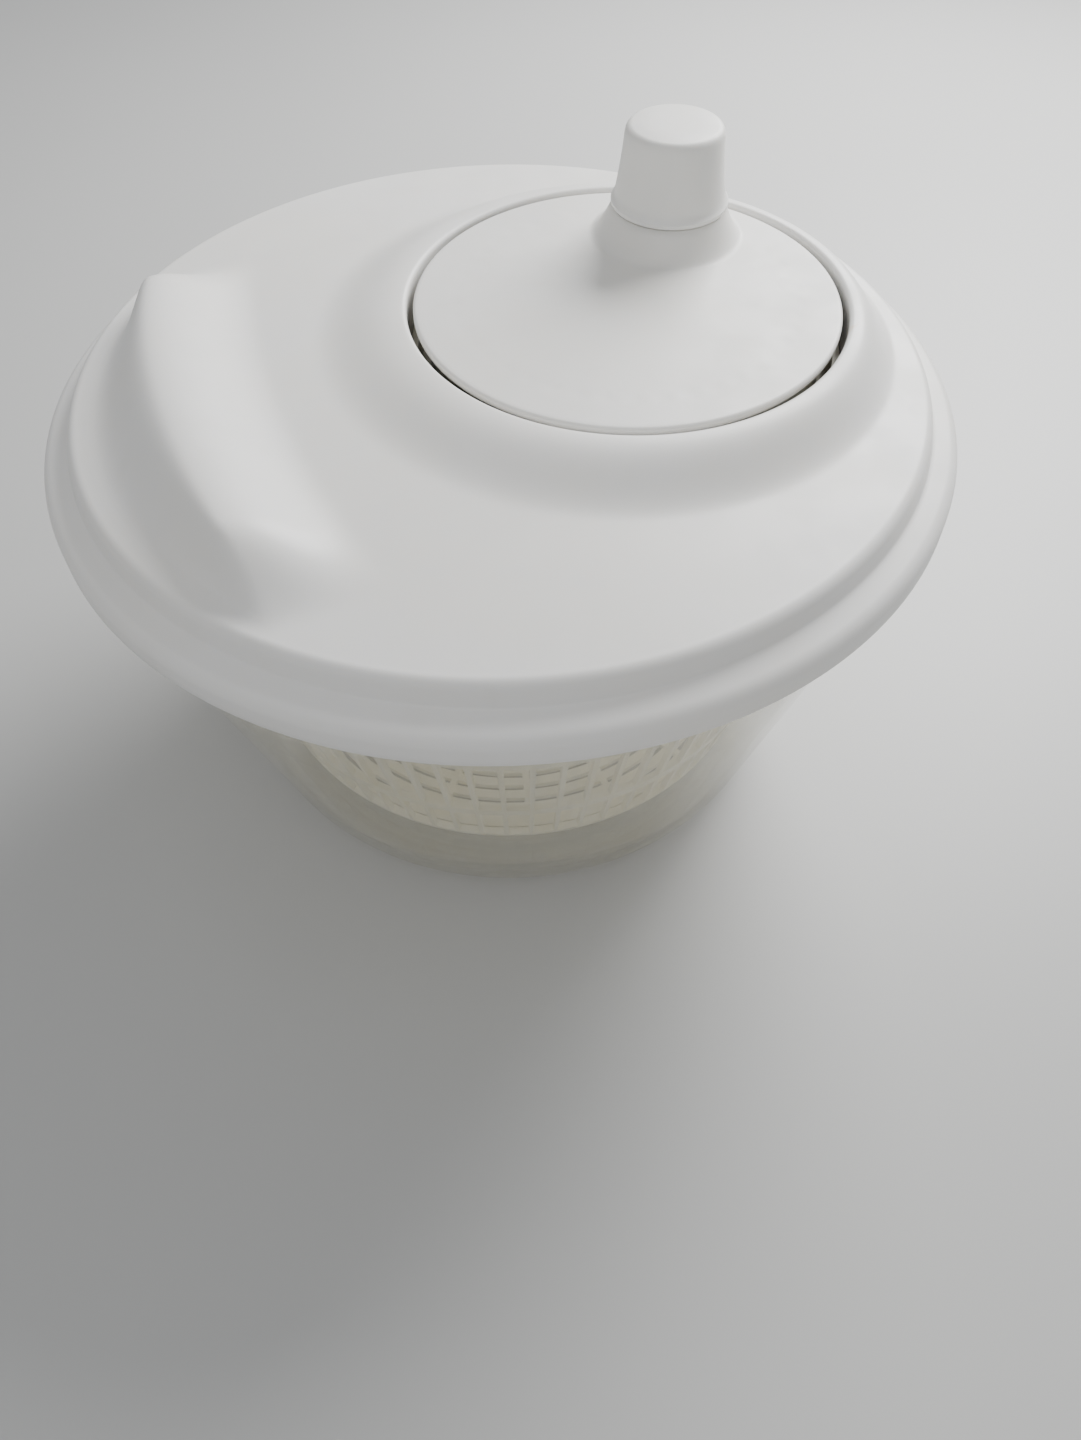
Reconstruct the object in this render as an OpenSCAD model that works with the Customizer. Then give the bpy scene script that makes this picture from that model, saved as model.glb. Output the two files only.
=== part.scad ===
// Salad spinner: bowl, slotted basket and a lid whose crank wheel turns the basket.
// Millimetres, +Z up. Origin: centre of the bowl's foot on the table.
// +X runs from the lid's axis to the crank wheel's axis.

/* [Lid] */
// Outer diameter of the lid over its skirt
lid_d = 260; // [259:0.5:261]
// Height of the skirt's lower edge above the table
skirt_z = 123.5; // [122.5:0.5:124.5]
// Wall thickness of the lid
lid_wall = 2.2; // [2:0.1:2.4]
// Height of the grip hump above the lid's top
hump_h = 12; // [8:0.5:14]
// Height of the turret's lip above the table
lip_z = 152.4; // [152:0.1:152.8]

/* [Crank] */
// Diameter of the crank wheel
wheel_d = 121.6; // [121:0.2:121.6]
// Height of the crank wheel's edge above the table
wheel_z = 152.2; // [151.8:0.1:152.8]
// Distance from the crank wheel's axis to the knob's axis
knob_throw = 37.6; // [36.6:0.2:38.4]
// Direction of the knob at rest, from +X
knob_angle = 47.5; // [0:0.5:359]
// Diameter of the knob at its base
knob_base_d = 34.8; // [34:0.2:35.4]
// Diameter of the knob at its top
knob_top_d = 28.4; // [26:0.2:30]
// Height of the knob's top above the table
knob_top_z = 184; // [182:0.5:186]

/* [Gears] */
// Gear module
gear_mod = 2.4; // [2.4]
// Teeth inside the crank wheel's ring
ring_teeth = 42; // [42]
// Teeth on the pinion
pinion_teeth = 10; // [10]
// Pressure angle
pressure_angle = 25; // [25]

/* [Bowl] */
// Diameter of the bowl where its wall meets the rounded foot
bowl_foot_d = 193; // [191:1:195]
// Outer diameter of the bowl's wall under its rim
bowl_top_d = 249; // [248:0.5:249.5]
// Radius of the bowl's rounded foot
bowl_foot_round = 18; // [16:1:20]
// Wall thickness of the bowl
bowl_wall = 2.2; // [2:0.1:2.4]

/* [Basket] */
// Outer diameter of the basket at its floor
basket_floor_d = 170.4; // [169:0.2:172]
// Outer diameter of the basket under its rim
basket_top_d = 218; // [216:1:219]
// Slots in each row round the basket
slot_count = 68; // [34:2:68]
// Width of one slot
slot_w = 6.8; // [6:0.2:7]

/* [Hidden] */
$fn = 96;

// Clearance that a shaft has all round in its bush
run = 0.05;
// Clearance between faces that pass each other
gap = 0.3;

lid_r = lid_d / 2;
bowl_foot_r = bowl_foot_d / 2;
bowl_top_r = bowl_top_d / 2;
wheel_r = wheel_d / 2;
ring_pitch_r = gear_mod * ring_teeth / 2;
pinion_pitch_r = gear_mod * pinion_teeth / 2;
// The pinion turns on the lid's axis, so the gears set how far off it the wheel sits.
wheel_x = ring_pitch_r - pinion_pitch_r;

// Rim of the lid: a skirt that rolls over to a ledge, and a step from a crease up to the shelf
roll_r = 4.5;
roll_c = [lid_r - roll_r, skirt_z + 4.8];
crease = [lid_r - 8.1, skirt_z + 10.5];
shelf_z = skirt_z + 17.1;
step_round = 3.4;
step_c = [lid_r - 9 - step_round, shelf_z - step_round];
shelf_r = step_c[0];
dome_rise = 7;

// Turret round the wheel, and the well inside it
well_r = wheel_r + 1.9;
lip_r = well_r + 1.9;
well_foot_z = shelf_z - 4.2;
turret_slope = 13;
turret_slope_more = 12;

// Grip hump opposite the wheel: a bar whose crest bows a little, its outer foot follows the rim
crest_x = 93;
crest_bow_r = 310;
hump_foot_r = shelf_r - 4.6;
hump_inner_w = 30;
hump_core = 55;
hump_reach = 80;
LID_SIDES = 72;

// Heights of the drive, from the basket up
basket_z = 20.8;
basket_rim_z = 124.5;
driver_z = 121;
driver_t = 2;
pan_z = 129;
pan_boss_z = driver_z + driver_t + 1.6;
pan_t = 2;
pan_wall_r = well_r - gap;
pan_flange_r = 74.5;
pan_screw_r = 70;
pan_screw_n = 4;
pan_boss_r = 3.4;
pan_screw_core = 1.5;
pinion_z = 134;
gear_face = 11;
wheel_t = 2.3;
ring_wall_r = 57;
hub_r = 8;
hub_foot_z = pan_z + 2.9;
wheel_bush_r = 10.5;
wheel_bush_top = 144.5;
shaft_r = 4;
shaft_bush_r = 6.5;
shaft_foot_z = 111.5;
clip_z = 113;
driver_hub_z = clip_z + 1;

// Knob, its boss on the wheel and the shoulder screw that it turns on
boss_top_z = 161.7;
boss_top_r = knob_base_d / 2 - 0.3;
boss_foot_r = wheel_r - knob_throw - 0.7;
spindle_r = 4;
knob_bush_r = 6;
knob_xy = [wheel_x + knob_throw * cos(knob_angle), knob_throw * sin(knob_angle)];

// Pivot in the bowl's floor
pin_r = 3;
bowl_floor_z = 4;
post_top_z = 20;
pin_top_z = 30;
bearing_r = 6.5;

function arc(c, r, a0, a1, n = 6) =
    [for (i = [0:n]) c + r * [cos(a0 + (a1 - a0) * i / n), sin(a0 + (a1 - a0) * i / n)]];

// Falls smoothly from 1 at t = 0 to 0 at t = 1
function fall(t) = t <= 0 ? 1 : t >= 1 ? 0 : (1 + cos(180 * t)) / 2;

// ---- lid surface -------------------------------------------------------

function dome_z(r) = shelf_z + dome_rise * (1 - pow(min(r, shelf_r) / shelf_r, 2));

function turret_part(x, y) =
    let (q = norm([x - wheel_x, y]), turn = atan2(y, x - wheel_x))
    fall((q - lip_r) / (turret_slope + turret_slope_more * (1 - cos(turn)) / 2));

function crest_at(y) = crest_x - y * y / (2 * crest_bow_r);

function hump_part(x, y) =
    let (out = -x - crest_at(y), foot = sqrt(max(pow(hump_foot_r, 2) - y * y, 0)) - crest_at(y))
    fall((abs(y) - hump_core) / (hump_reach - hump_core)) *
    (out > 0 ? fall(out / max(foot, 6)) : fall(-out / hump_inner_w));

function lid_z(x, y) =
    let (d = dome_z(norm([x, y])))
    d + (lip_z - d) * turret_part(x, y) + hump_h * hump_part(x, y);

// A ring of the lid's skin: circle of radius r about [c, 0]. Where z is undef, the
// ring lies on the lid's surface, lowered by drop.
function skin_ring(c, r, z, drop = 0) =
    [for (i = [0:LID_SIDES - 1])
        let (a = 360 * i / LID_SIDES, x = c + r * cos(a), y = r * sin(a))
        [x, y, is_undef(z) ? lid_z(x, y) - drop : z]];

// Rings that pass from the turret's lip, round the wheel, to the shelf, round the lid
function span_rings(t0, t1, n, drop) =
    [for (i = [0:n])
        let (t = t0 + (t1 - t0) * i / n)
        skin_ring(wheel_x * (1 - t), lip_r + 0.8 + (shelf_r - lip_r - 0.8) * t, undef, drop)];

rim_outer = concat(
    arc(step_c, step_round, 72, 12, 4),
    [crease],
    arc(roll_c, roll_r, 74, 0, 6),
    [[lid_r, skirt_z + 0.6], [lid_r - 0.6, skirt_z]]
);
rim_inner = concat(
    [[lid_r - lid_wall, skirt_z]],
    arc(roll_c, roll_r - lid_wall, 0, 74, 4),
    [crease - lid_wall * [1, 1]],
    arc(step_c, step_round - lid_wall, 12, 72, 3)
);

module ring_loft(rings) {
    n = len(rings[0]);
    m = len(rings);
    polyhedron(
        points = [for (ring = rings) each ring],
        faces = [for (i = [0:m - 1], j = [0:n - 1], k = [0, 1])
            let (a = i * n + j, b = i * n + (j + 1) % n)
            let (c = ((i + 1) % m) * n + j, d = ((i + 1) % m) * n + (j + 1) % n)
            k == 0 ? [a, b, c] : [b, d, c]]
    );
}

module lid_skin() {
    spans = 12;
    ring_loft(concat(
        [skin_ring(wheel_x, well_r, well_foot_z), skin_ring(wheel_x, well_r, lip_z - 1.2),
         skin_ring(wheel_x, well_r + 0.5, lip_z - 0.3), skin_ring(wheel_x, lip_r - 0.4, lip_z)],
        span_rings(0, 1, spans, 0),
        [for (p = rim_outer) skin_ring(0, p[0], p[1])],
        [for (p = rim_inner) skin_ring(0, p[0], p[1])],
        [for (i = [0:spans]) span_rings(0.98 - 0.96 * i / spans, 0, 1, lid_wall)[0]],
        [skin_ring(wheel_x, well_r + lid_wall, lip_z - lid_wall - 0.6),
         skin_ring(wheel_x, well_r + lid_wall, well_foot_z)]
    ));
}

module at_wheel() {
    translate([wheel_x, 0, 0]) children();
}

module at_knob() {
    translate([knob_xy[0], knob_xy[1], 0]) children();
}

PAN_SCREWS = [for (i = [0:pan_screw_n - 1])
    let (a = (i + 0.5) * 360 / pan_screw_n)
    [wheel_x + pan_screw_r * cos(a), pan_screw_r * sin(a), 0]];

// Point of a screw's boss that is farthest from the wheel's axis, where the lid is lowest
function pan_screw_far(p) =
    let (out = (pan_screw_r + pan_boss_r) / pan_screw_r)
    [wheel_x + (p[0] - wheel_x) * out, p[1] * out];

// Solid of revolution from a list of [radius, height]
module turned(points) {
    rotate_extrude() polygon(points);
}

module pipe(r_out, r_in, z0, z1) {
    translate([0, 0, z0])
    difference() {
        cylinder(r = r_out, h = z1 - z0);
        translate([0, 0, -1]) cylinder(r = r_in, h = z1 - z0 + 2);
    }
}

module rod(r, z0, z1) {
    translate([0, 0, z0]) cylinder(r = r, h = z1 - z0);
}

// Involute gear outline. thin takes material off each flank, more moves the tip circle out
function involute(base, t) = base * [cos(t) + PI * t / 180 * sin(t), sin(t) - PI * t / 180 * cos(t)];

function turn2(p, a) = [p[0] * cos(a) - p[1] * sin(a), p[0] * sin(a) + p[1] * cos(a)];

function roll_to(base, r) = r <= base ? 0 : sqrt(pow(r / base, 2) - 1) * 180 / PI;

function flank_points(teeth, root_r, tip_r, thin, n = 5) =
    let (pitch_r = gear_mod * teeth / 2, base = pitch_r * cos(pressure_angle))
    let (pitch_roll = roll_to(base, pitch_r), pitch_point = involute(base, pitch_roll))
    let (half = 90 / teeth - thin / pitch_r * 180 / PI)
    let (turn_back = -half - atan2(pitch_point[1], pitch_point[0]), start_r = max(base, root_r))
    [for (i = [0:n]) turn2(involute(base, roll_to(base, start_r + (tip_r - start_r) * i / n)), turn_back)];

module gear_outline(teeth, root_r, tip_r, thin) {
    flank = flank_points(teeth, root_r, tip_r, thin);
    foot = turn2([root_r, 0], atan2(flank[0][1], flank[0][0]));
    side = norm(flank[0]) > root_r + 0.01 ? concat([foot], flank) : flank;
    n = len(side);
    polygon([for (k = [0:teeth - 1], i = [0:2 * n - 1])
        turn2(i < n ? side[i] : [side[2 * n - 1 - i][0], -side[2 * n - 1 - i][1]], 360 * k / teeth)]);
}

// ---- bowl ---------------------------------------------------------------

// Outer radius of the bowl's wall at height z, above its rounded foot
function bowl_r(z) =
    bowl_foot_r + (bowl_top_r - bowl_foot_r) * (z - bowl_foot_round) / (skirt_z - bowl_foot_round);

module bowl() {
    lean = atan((bowl_top_r - bowl_foot_r) / (skirt_z - bowl_foot_round));
    foot_c = [bowl_r(bowl_foot_round) - bowl_foot_round / cos(lean), bowl_foot_round];
    bead_r = 1.9;
    bead_c = roll_c;
    color([0.93, 0.91, 0.8, 0.45])
    difference() {
        turned(concat(
            [[0, 1.6], [foot_c[0] - 5, 1.6], [foot_c[0] - 4, 0]],
            arc(foot_c, bowl_foot_round, -90, -lean, 6),
            [[bowl_top_r, skirt_z], [bead_c[0] + bead_r, skirt_z + 1.5]],
            arc(bead_c, bead_r, 0, 180, 6),
            [[bowl_top_r - bowl_wall, skirt_z]],
            arc(foot_c, bowl_foot_round - bowl_wall, -lean, -80, 5),
            [[foot_c[0] - 4, bowl_floor_z], [14, bowl_floor_z], [9, post_top_z - 2]],
            [[7.5, post_top_z], [0, post_top_z]]
        ));
        rod(pin_r, bowl_floor_z, post_top_z + 1);
    }
}

module bowl_pivot_pin() {
    color("silver")
    turned(concat([[0, bowl_floor_z], [pin_r, bowl_floor_z]],
        arc([pin_r - 1.5, pin_top_z - 1.5], 1.5, 0, 90, 3), [[0, pin_top_z]]));
}

// ---- basket -------------------------------------------------------------

module basket_bearing() {
    foot_z = post_top_z + 0.4;
    color("whitesmoke")
    turned([[pin_r + run, foot_z], [bearing_r + 3, foot_z], [bearing_r + 3, foot_z + 1.6],
        [bearing_r, foot_z + 1.6],
        [bearing_r, pin_top_z + 1], [bearing_r - 1.2, pin_top_z + 2.2], [0, pin_top_z + 2.2],
        [0, pin_top_z + 0.2], [pin_r + run, pin_top_z + 0.2]]);
}

basket_wall = 1.8;
basket_floor_r = basket_floor_d / 2;
basket_top_r = basket_top_d / 2;
basket_corner = 3.2;
basket_rim_r = basket_top_r + 3.5;
slot_rows = [[24.4, 41.8], [45.8, 78], [82, 112]];
floor_slot_rings = 9;
floor_slot_sectors = 12;

// Outer radius of the basket's wall at height z
function basket_r(z) =
    basket_floor_r + (basket_top_r - basket_floor_r) * (z - basket_z) / (basket_rim_z - 6 - basket_z);

module basket_body() {
    lean = atan((basket_top_r - basket_floor_r) / (basket_rim_z - 6 - basket_z));
    corner_c = [basket_r(basket_z + basket_corner) - basket_corner / cos(lean), basket_z + basket_corner];
    hub_top = pin_top_z + 5;
    hub_seat = post_top_z + 2.3;
    turned(concat(
        [[bearing_r + run, hub_seat], [bearing_r + 4, hub_seat], [bearing_r + 4.6, basket_z]],
        arc(corner_c, basket_corner, -90, -lean, 4),
        [[basket_top_r, basket_rim_z - 6], [basket_rim_r - 1.2, basket_rim_z - 5.4],
         [basket_rim_r, basket_rim_z - 4.6], [basket_rim_r, basket_rim_z],
         [basket_top_r - basket_wall, basket_rim_z], [basket_top_r - basket_wall, basket_rim_z - 6]],
        arc(corner_c, basket_corner - basket_wall, -lean, -90, 3),
        [[bearing_r + 6, basket_z + basket_wall], [bearing_r + 3.5, hub_top - 3],
         [bearing_r + 1.5, hub_top - 0.6], [bearing_r - 1, hub_top], [0, hub_top], [0, pin_top_z + 2.6],
         [bearing_r + run, pin_top_z + 2.6]]
    ));
}

module wall_slots() {
    for (row = slot_rows)
        translate([0, 0, row[0]])
        linear_extrude(row[1] - row[0])
        for (i = [0:slot_count - 1])
            rotate(360 * (i + 0.5) / slot_count)
            translate([basket_floor_r - 12, -slot_w / 2])
            square([basket_top_r - basket_floor_r + 24, slot_w]);
}

module floor_slots() {
    translate([0, 0, basket_z - 1])
    linear_extrude(4)
    difference() {
        for (i = [0:floor_slot_rings - 1])
            let (r = 17 + i * 7)
            difference() {
                circle(r + 3.2);
                circle(r);
            }
        for (i = [0:floor_slot_sectors - 1])
            rotate(360 * i / floor_slot_sectors)
            translate([0, -1.6])
            square([basket_floor_r, 3.2]);
    }
}

DOGS = 4;
dog_w = 12;
dog_r = basket_top_r + 1.8;

module dog_places() {
    for (i = [0:DOGS - 1]) rotate([0, 0, 360 * (i + 0.5) / DOGS]) children();
}

module basket() {
    color([0.95, 0.92, 0.83])
    difference() {
        basket_body();
        wall_slots();
        floor_slots();
        dog_places()
        translate([basket_top_r - 6, -dog_w / 2 - 0.6, driver_z - 0.6])
        cube([6 + dog_r - basket_top_r + 0.6, dog_w + 1.2, 10]);
    }
}

// ---- lid ----------------------------------------------------------------

module lid_shell() {
    color("white")
    difference() {
        union() {
            lid_skin();
            for (p = PAN_SCREWS)
                let (far = pan_screw_far(p))
                translate(p) rod(pan_boss_r, well_foot_z, lid_z(far[0], far[1]) - 0.5);
        }
        for (p = PAN_SCREWS) translate(p) rod(pan_screw_core, well_foot_z - 1, well_foot_z + 6);
    }
}

module gear_pan() {
    flange_z = well_foot_z - 2.2;
    wall_top = well_foot_z + 3;
    color("gainsboro")
    difference() {
        union() {
            at_wheel()
            turned([[0, pan_z], [pan_wall_r - 1, pan_z], [pan_wall_r, pan_z + 1], [pan_wall_r, flange_z],
                [pan_flange_r, flange_z], [pan_flange_r, well_foot_z - 0.1], [pan_wall_r, well_foot_z - 0.1],
                [pan_wall_r, wall_top], [pan_wall_r - pan_t, wall_top], [pan_wall_r - pan_t, pan_z + pan_t],
                [0, pan_z + pan_t]]);
            at_wheel() rod(wheel_bush_r + 3, pan_z, wheel_bush_top - 1.6);
            rod(shaft_bush_r + 2.5, pan_boss_z, pinion_z - 1.6);
        }
        at_wheel() rod(wheel_bush_r, pan_z - 1, wheel_bush_top);
        rod(shaft_bush_r, pan_boss_z - 1, pinion_z);
        for (p = PAN_SCREWS) translate(p) rod(1.8, flange_z - 1, well_foot_z + 1);
    }
}

module gear_pan_screws() {
    head_z = well_foot_z - 2.2;
    color("silver")
    for (p = PAN_SCREWS)
        translate(p)
        difference() {
            turned([[0, head_z - 1.8], [2.6, head_z - 1.8], [3.1, head_z - 1.2], [3.1, head_z],
                [pan_screw_core, head_z], [pan_screw_core, well_foot_z + 5], [0, well_foot_z + 5.6]]);
            for (a = [0, 90])
                rotate([0, 0, a])
                translate([-1.6, -0.3, head_z - 2.8]) cube([3.2, 0.6, 1.8]);
        }
}

module wheel_bush() {
    top = wheel_bush_top;
    color("whitesmoke")
    at_wheel()
    turned([[hub_r + run, hub_foot_z + 0.1], [wheel_bush_r, hub_foot_z + 0.1], [wheel_bush_r, top - 1.6],
        [wheel_bush_r + 2, top - 1.6], [wheel_bush_r + 2, top], [hub_r + run, top]]);
}

module shaft_bush() {
    top = pinion_z - 0.8;
    color("whitesmoke")
    turned([[shaft_r + run, pan_boss_z], [shaft_bush_r, pan_boss_z], [shaft_bush_r, top - 0.8],
        [shaft_bush_r + 1.8, top - 0.8], [shaft_bush_r + 1.8, top], [shaft_r + run, top]]);
}

// ---- crank wheel --------------------------------------------------------

module knob_boss() {
    foot = wheel_z - 1;
    rise = boss_top_z - wheel_z;
    turned(concat(
        [[0, foot], [boss_foot_r, foot]],
        [for (t = [0:0.2:1])
            [boss_top_r + (boss_foot_r - boss_top_r) * pow(1 - t, 1.9), wheel_z - 0.6 + (rise + 0.3) * t]],
        [[boss_top_r - 0.6, boss_top_z], [0, boss_top_z]]
    ));
}

module crank_wheel() {
    under = wheel_z - wheel_t;
    color("white")
    difference() {
        union() {
            at_wheel()
            turned(concat(
                [[0, under], [wheel_r - 0.8, under]],
                [[wheel_r, under + 0.8]],
                arc([wheel_r - 1, wheel_z - 1], 1, 0, 90, 3),
                [[wheel_r * 0.5, wheel_z + 0.5], [0, wheel_z + 0.7]]
            ));
            at_wheel()
            translate([0, 0, pinion_z])
            linear_extrude(under - pinion_z + 0.5)
            difference() {
                circle(ring_wall_r);
                gear_outline(
                    ring_teeth, ring_pitch_r - 0.7 * gear_mod, ring_pitch_r + 1.25 * gear_mod, -0.12
                );
            }
            at_wheel() turned([[0, hub_foot_z], [hub_r, hub_foot_z], [hub_r, wheel_bush_top + 0.2],
                [hub_r + 3, wheel_bush_top + 0.2], [hub_r + 5, under + 0.5], [0, under + 0.5]]);
            at_knob() knob_boss();
        }
        at_knob() turned([[0, wheel_z - wheel_t - 1], [12.5, wheel_z - wheel_t - 1], [11.5, boss_top_z - 3],
            [0, boss_top_z - 3]]);
        at_knob() rod(knob_bush_r, boss_top_z - 4, boss_top_z + 1);
        at_wheel() rod(2, hub_foot_z - 1, hub_foot_z + 11);
    }
}

module wheel_washer() {
    color("silver")
    at_wheel() pipe(wheel_bush_r - 0.6, 2.2, hub_foot_z - 1.2, hub_foot_z);
}

module wheel_screw() {
    seat = hub_foot_z - 1.2;
    color("silver")
    at_wheel()
    difference() {
        turned([[0, seat - 2], [3.4, seat - 2], [4.2, seat - 1.2], [4.2, seat], [2, seat],
            [2, seat + 10.6], [0, seat + 11.4]]);
        for (a = [0, 90])
            rotate([0, 0, a])
            translate([-2.2, -0.4, seat - 3]) cube([4.4, 0.8, 2]);
    }
}

module knob_bush() {
    color("whitesmoke")
    at_knob()
    turned([[spindle_r + run, boss_top_z - 4], [knob_bush_r + 1.6, boss_top_z - 4],
        [knob_bush_r + 1.6, boss_top_z - 3], [knob_bush_r, boss_top_z - 3], [knob_bush_r, boss_top_z],
        [spindle_r + run, boss_top_z]]);
}

// ---- knob ---------------------------------------------------------------

module knob() {
    base_z = boss_top_z + gap;
    base_r = knob_base_d / 2;
    top_r = knob_top_d / 2;
    wall = 2.4;
    rise = knob_top_z - base_z;
    color("white")
    at_knob()
    turned(concat(
        [[spindle_r, base_z], [spindle_r + 3, base_z], [spindle_r + 3, knob_top_z - wall],
         [top_r - wall - 1, knob_top_z - wall]],
        [for (t = [0.75, 0.5, 0.25])
            [top_r - wall - 0.3 + (base_r - top_r) * pow(1 - t, 1.5), base_z + rise * t]],
        [[base_r - wall, base_z], [base_r, base_z], [base_r, base_z + 1.2]],
        [for (t = [0.12:0.2:0.92]) [top_r + (base_r - top_r - 0.5) * pow(1 - t, 1.5), base_z + rise * t]],
        arc([top_r - 2.2, knob_top_z - 2.2], 2.2, 0, 90, 4),
        [[0, knob_top_z + 0.2], [0, knob_top_z - wall], [spindle_r, knob_top_z - wall]]
    ));
}

module knob_spindle() {
    head_z = boss_top_z - 5.6;
    color("silver")
    at_knob()
    difference() {
        turned([[0, head_z - 2.4], [6, head_z - 2.4], [7, head_z - 1.6], [7, head_z], [spindle_r, head_z],
            [spindle_r, knob_top_z - 5], [spindle_r - 1, knob_top_z - 4], [0, knob_top_z - 4]]);
        translate([-8, -0.6, head_z - 3.4]) cube([16, 1.2, 2]);
    }
}

module knob_washer() {
    color("silver")
    at_knob() pipe(8.5, spindle_r + 0.1, boss_top_z - 5.5, boss_top_z - 4.3);
}

// ---- drive to the basket --------------------------------------------------

module drive_shaft() {
    color("silver")
    difference() {
        turned([[0, shaft_foot_z], [shaft_r - 0.6, shaft_foot_z], [shaft_r, shaft_foot_z + 0.6],
            [shaft_r, pinion_z + gear_face + 0.4], [shaft_r - 0.6, pinion_z + gear_face + 1],
            [0, pinion_z + gear_face + 1]]);
        pipe(shaft_r + 1, shaft_r - 0.8, clip_z, clip_z + 0.9);
    }
}

module pinion() {
    color("whitesmoke")
    translate([0, 0, pinion_z])
    difference() {
        linear_extrude(gear_face)
        gear_outline(pinion_teeth, pinion_pitch_r - gear_mod * 1.05, pinion_pitch_r + gear_mod * 0.92, 0.12);
        translate([0, 0, -1]) cylinder(r = shaft_r, h = gear_face + 2);
    }
}

module thrust_washer() {
    color("silver")
    pipe(shaft_bush_r + 1.5, shaft_r, pinion_z - 0.7, pinion_z);
}

module basket_driver() {
    edge_r = basket_top_r - basket_wall - 1.2;
    color([0.93, 0.92, 0.86])
    difference() {
        union() {
            turned([[0, driver_z], [edge_r - 2, driver_z], [edge_r - 2, driver_z - 4], [edge_r, driver_z - 4],
                [edge_r, driver_z + driver_t], [0, driver_z + driver_t]]);
            rod(shaft_r + 5, driver_hub_z, driver_z + driver_t + 0.6);
            for (i = [0:5])
                rotate([0, 0, 60 * i])
                translate([shaft_r + 3, -1, driver_z - 4]) cube([edge_r - shaft_r - 4.5, 2, 4.5]);
            dog_places()
            translate([edge_r - 1.5, -dog_w / 2, driver_z]) cube([dog_r - edge_r + 1.5, dog_w, driver_t]);
        }
        rod(shaft_r, driver_hub_z - 1, driver_z + 5);
    }
}

module driver_clip() {
    color("silver")
    difference() {
        pipe(shaft_r + 3, shaft_r - 0.8, clip_z + 0.05, clip_z + 0.85);
        translate([0, -2, clip_z - 1]) cube([10, 4, 3]);
    }
}

bowl();
bowl_pivot_pin();
basket_bearing();
basket();
lid_shell();
gear_pan();
gear_pan_screws();
wheel_bush();
shaft_bush();
crank_wheel();
wheel_washer();
wheel_screw();
knob_bush();
knob();
knob_spindle();
knob_washer();
drive_shaft();
pinion();
thrust_washer();
basket_driver();
driver_clip();
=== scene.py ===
"""Salad spinner: the mouldings, their finishes and the stage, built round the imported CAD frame."""

import math

import bmesh
import bpy
from bpy.props import FloatProperty, FloatVectorProperty, IntProperty, PointerProperty
from mathutils import Matrix, Vector


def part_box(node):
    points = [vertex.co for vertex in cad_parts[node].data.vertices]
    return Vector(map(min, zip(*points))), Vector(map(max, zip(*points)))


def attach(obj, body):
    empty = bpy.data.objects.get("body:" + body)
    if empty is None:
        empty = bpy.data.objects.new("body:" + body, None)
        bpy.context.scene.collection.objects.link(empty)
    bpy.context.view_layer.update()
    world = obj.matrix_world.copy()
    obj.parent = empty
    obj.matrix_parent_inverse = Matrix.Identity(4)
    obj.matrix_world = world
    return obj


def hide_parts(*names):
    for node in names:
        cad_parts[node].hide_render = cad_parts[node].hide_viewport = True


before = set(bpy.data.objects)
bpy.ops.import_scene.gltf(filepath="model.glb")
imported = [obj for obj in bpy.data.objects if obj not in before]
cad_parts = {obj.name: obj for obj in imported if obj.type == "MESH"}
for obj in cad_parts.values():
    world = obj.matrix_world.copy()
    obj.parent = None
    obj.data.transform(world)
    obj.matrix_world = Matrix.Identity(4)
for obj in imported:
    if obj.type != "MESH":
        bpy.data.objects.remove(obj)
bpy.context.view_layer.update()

bl_info = {
    "name": "Salad Spinner",
    "version": (1, 0, 0),
    "blender": (4, 5, 0),
    "location": "View3D > Sidebar > Spinner",
    "description": "Builds the mouldings of a hand-cranked salad spinner round its CAD frame",
    "category": "Mesh",
}

MM = 0.001
TURN = 2 * math.pi
UP = Vector((0, 0, 1))

lid_low, lid_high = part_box("lid_shell")
wheel_low, wheel_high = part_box("crank_wheel")
knob_low, knob_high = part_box("knob")
bush_low, bush_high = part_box("wheel_bush")
bowl_low, bowl_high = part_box("bowl")
basket_low, basket_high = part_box("basket")
bearing_low, bearing_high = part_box("basket_bearing")
dogs_low, dogs_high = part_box("basket_driver")

SKIRT_Z = lid_low.z
WHEEL_AXIS = Vector(((bush_low.x + bush_high.x) / 2, 0, 0))
KNOB_AXIS = Vector(((knob_low.x + knob_high.x) / 2, (knob_low.y + knob_high.y) / 2, 0))


# ---- sizes and colours a user would change --------------------------------------------------


def length(name, description, default):
    return FloatProperty(
        name=name, description=description, default=default, unit="LENGTH", subtype="DISTANCE"
    )


def angle(name, description, degrees):
    return FloatProperty(name=name, description=description, default=math.radians(degrees), subtype="ANGLE")


def colour(name, description, default):
    return FloatVectorProperty(
        name=name, description=description, default=default, subtype="COLOR", size=3, min=0, max=1
    )


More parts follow.
